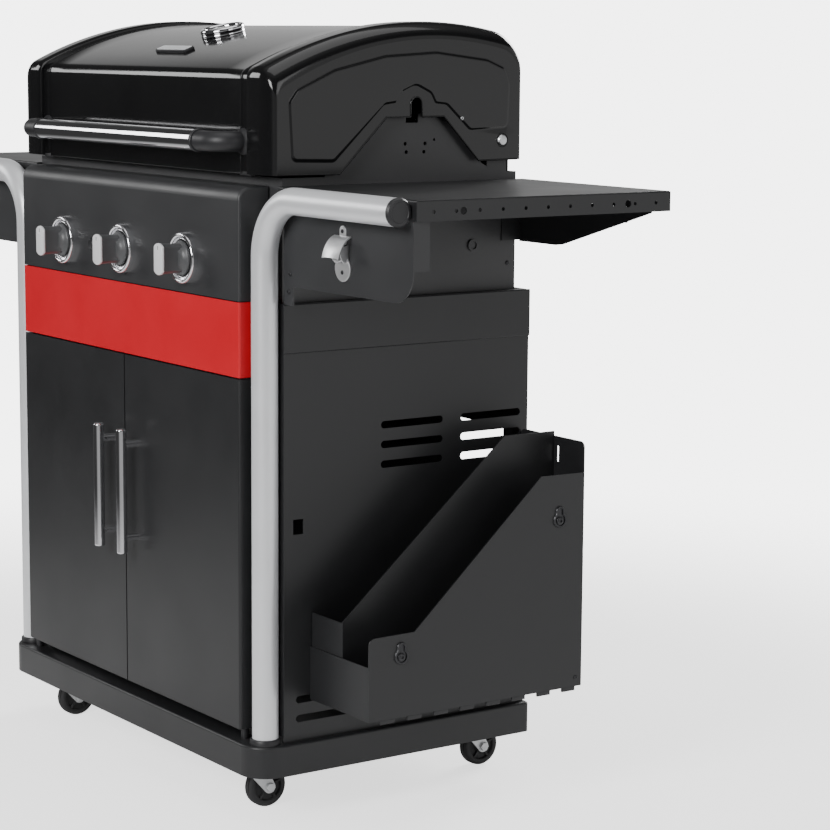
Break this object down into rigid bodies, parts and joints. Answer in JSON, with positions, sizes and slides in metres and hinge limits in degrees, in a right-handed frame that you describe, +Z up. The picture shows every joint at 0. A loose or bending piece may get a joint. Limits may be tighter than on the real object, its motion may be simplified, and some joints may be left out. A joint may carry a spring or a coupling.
{
  "type": "gas barbecue grill",
  "caption": "Cabinet gas barbecue on casters with a domed lid, side shelves on bent tube rails, a coloured band, hinged doors and a side holder.",
  "frame": {"origin": "on the floor under the middle of the grill's bounding box", "axes": "+X to the grill's right seen from the front, the front faces -Y, +Z up"},
  "size_m": [1.424, 0.53, 1.1445],
  "materials": {
    "lid_enamel": "gloss black enamel",
    "panel_paint": "satin black powder coat",
    "band_red": "satin red powder coat",
    "silver_paint": "satin silver powder coat",
    "chrome_trim": "polished",
    "plated_steel": "zinc plated",
    "black_plastic": "fine grain",
    "knob_plastic": "semi gloss with a silver face",
    "tyre_rubber": "matt",
    "stainless": "brushed",
    "cast_grate": "matt enamel",
    "firebox_paint": "heat resistant semi gloss black",
    "brass_tap": "machined",
    "wire_chrome": "bright wire",
    "dial_face": "satin",
    "needle_red": "satin"
  },
  "bodies": {
    "cart": {"base_tray": "panel_paint", "side_panel_right": "panel_paint", "side_panel_left": "panel_paint", "side_trims": "panel_paint", "rear_panel": "panel_paint", "front_band": "band_red", "post_rail_right": "silver_paint", "post_rail_left": "silver_paint", "rail_caps": "black_plastic", "control_panel": "panel_paint", "door_hinge_pins": "plated_steel", "door_magnets": "black_plastic", "knob_bezels": "chrome_trim", "gas_valves": "brass_tap", "igniter_housing": "black_plastic", "gas_manifold": "plated_steel", "burners": "stainless", "firebox": "firebox_paint", "flame_covers": "stainless", "cooking_grates": "cast_grate", "warming_rack": "wire_chrome", "shelf_right": "panel_paint", "shelf_left": "panel_paint", "shelf_fascias": "panel_paint", "shelf_brackets": "panel_paint", "bottle_opener": "chrome_trim", "holder_shell": "panel_paint", "holder_divider": "panel_paint", "holder_keyholes": "panel_paint", "lid_pivot_bolts": "plated_steel"},
    "lid": {"lid_skin": "lid_enamel", "lid_cap_right": "lid_enamel", "lid_cap_left": "lid_enamel", "lid_handle": "chrome_trim", "lid_handle_arms": "black_plastic", "gauge_case": "dial_face", "gauge_bezel": "chrome_trim", "lid_plate": "silver_paint"},
    "gauge_needle": {"gauge_needle": "needle_red"},
    "door_right": {"door_right": "panel_paint", "door_handle_right": "chrome_trim"},
    "door_left": {"door_left": "panel_paint", "door_handle_left": "chrome_trim"},
    "grease_tray": {"grease_tray": "plated_steel"},
    "igniter_button": {"igniter_button": "black_plastic"},
    "fork_front_right": {"caster_fork_front_right": "plated_steel"},
    "wheel_front_right": {"caster_wheel_front_right": "tyre_rubber"},
    "fork_front_left": {"caster_fork_front_left": "plated_steel"},
    "wheel_front_left": {"caster_wheel_front_left": "tyre_rubber"},
    "fork_rear_right": {"caster_fork_rear_right": "plated_steel"},
    "wheel_rear_right": {"caster_wheel_rear_right": "tyre_rubber"},
    "fork_rear_left": {"caster_fork_rear_left": "plated_steel"},
    "wheel_rear_left": {"caster_wheel_rear_left": "tyre_rubber"},
    "collar_right": {"valve_collar_right": "brass_tap"},
    "knob_right": {"knob_right": "knob_plastic"},
    "collar_middle": {"valve_collar_middle": "brass_tap"},
    "knob_middle": {"knob_middle": "knob_plastic"},
    "collar_left": {"valve_collar_left": "brass_tap"},
    "knob_left": {"knob_left": "knob_plastic"}
  },
  "joints": [
    {"name": "lid_hinge", "type": "hinge", "parent": "cart", "child": "lid", "pos_m": [0, 0.2045, 0.973], "axis": [-1, 0, 0], "range_deg": [0, 85]},
    {"name": "gauge_needle_turn", "type": "hinge", "parent": "lid", "child": "gauge_needle", "pos_m": [0, -0.04277, 1.12462], "axis": [0, 0.2147, -0.9767], "range_deg": [0, 250], "stiffness_Nm_per_rad": 0.002},
    {"name": "door_right_hinge", "type": "hinge", "parent": "cart", "child": "door_right", "pos_m": [0.33, -0.206, 0.4], "axis": [0, 0, 1], "range_deg": [0, 110]},
    {"name": "door_left_hinge", "type": "hinge", "parent": "cart", "child": "door_left", "pos_m": [-0.33, -0.206, 0.4], "axis": [0, 0, -1], "range_deg": [0, 110]},
    {"name": "grease_tray_slide", "type": "slide", "parent": "cart", "child": "grease_tray", "axis": [0, 1, 0], "range_m": [0, 0.26]},
    {"name": "igniter_press", "type": "slide", "parent": "cart", "child": "igniter_button", "axis": [0, 1, 0], "range_m": [0, 0.004], "stiffness_N_per_m": 600, "springref_m": -0.002},
    {"name": "knob_push_right", "type": "slide", "parent": "cart", "child": "collar_right", "axis": [0, 1, 0], "range_m": [0, 0.003], "stiffness_N_per_m": 2000, "springref_m": -0.002},
    {"name": "knob_turn_right", "type": "hinge", "parent": "collar_right", "child": "knob_right", "pos_m": [0.1893, -0.21, 0.8033], "axis": [0, -1, 0], "range_deg": [0, 210]},
    {"name": "knob_push_middle", "type": "slide", "parent": "cart", "child": "collar_middle", "axis": [0, 1, 0], "range_m": [0, 0.003], "stiffness_N_per_m": 2000, "springref_m": -0.002},
    {"name": "knob_turn_middle", "type": "hinge", "parent": "collar_middle", "child": "knob_middle", "pos_m": [0, -0.21, 0.8033], "axis": [0, -1, 0], "range_deg": [0, 210]},
    {"name": "knob_push_left", "type": "slide", "parent": "cart", "child": "collar_left", "axis": [0, 1, 0], "range_m": [0, 0.003], "stiffness_N_per_m": 2000, "springref_m": -0.002},
    {"name": "knob_turn_left", "type": "hinge", "parent": "collar_left", "child": "knob_left", "pos_m": [-0.1893, -0.21, 0.8033], "axis": [0, -1, 0], "range_deg": [0, 210]},
    {"name": "swivel_front_right", "type": "hinge", "parent": "cart", "child": "fork_front_right", "pos_m": [0.302, -0.1782, 0.09], "axis": [0, 0, 1], "continuous": true},
    {"name": "roll_front_right", "type": "hinge", "parent": "fork_front_right", "child": "wheel_front_right", "pos_m": [0.302, -0.1552, 0.031], "axis": [1, 0, 0], "continuous": true},
    {"name": "swivel_front_left", "type": "hinge", "parent": "cart", "child": "fork_front_left", "pos_m": [-0.302, -0.1782, 0.09], "axis": [0, 0, 1], "continuous": true},
    {"name": "roll_front_left", "type": "hinge", "parent": "fork_front_left", "child": "wheel_front_left", "pos_m": [-0.302, -0.1552, 0.031], "axis": [1, 0, 0], "continuous": true},
    {"name": "swivel_rear_right", "type": "hinge", "parent": "cart", "child": "fork_rear_right", "pos_m": [0.302, 0.2108, 0.09], "axis": [0, 0, 1], "continuous": true},
    {"name": "roll_rear_right", "type": "hinge", "parent": "fork_rear_right", "child": "wheel_rear_right", "pos_m": [0.302, 0.2338, 0.031], "axis": [1, 0, 0], "continuous": true},
    {"name": "swivel_rear_left", "type": "hinge", "parent": "cart", "child": "fork_rear_left", "pos_m": [-0.302, 0.2108, 0.09], "axis": [0, 0, 1], "continuous": true},
    {"name": "roll_rear_left", "type": "hinge", "parent": "fork_rear_left", "child": "wheel_rear_left", "pos_m": [-0.302, 0.2338, 0.031], "axis": [1, 0, 0], "continuous": true}
  ]
}
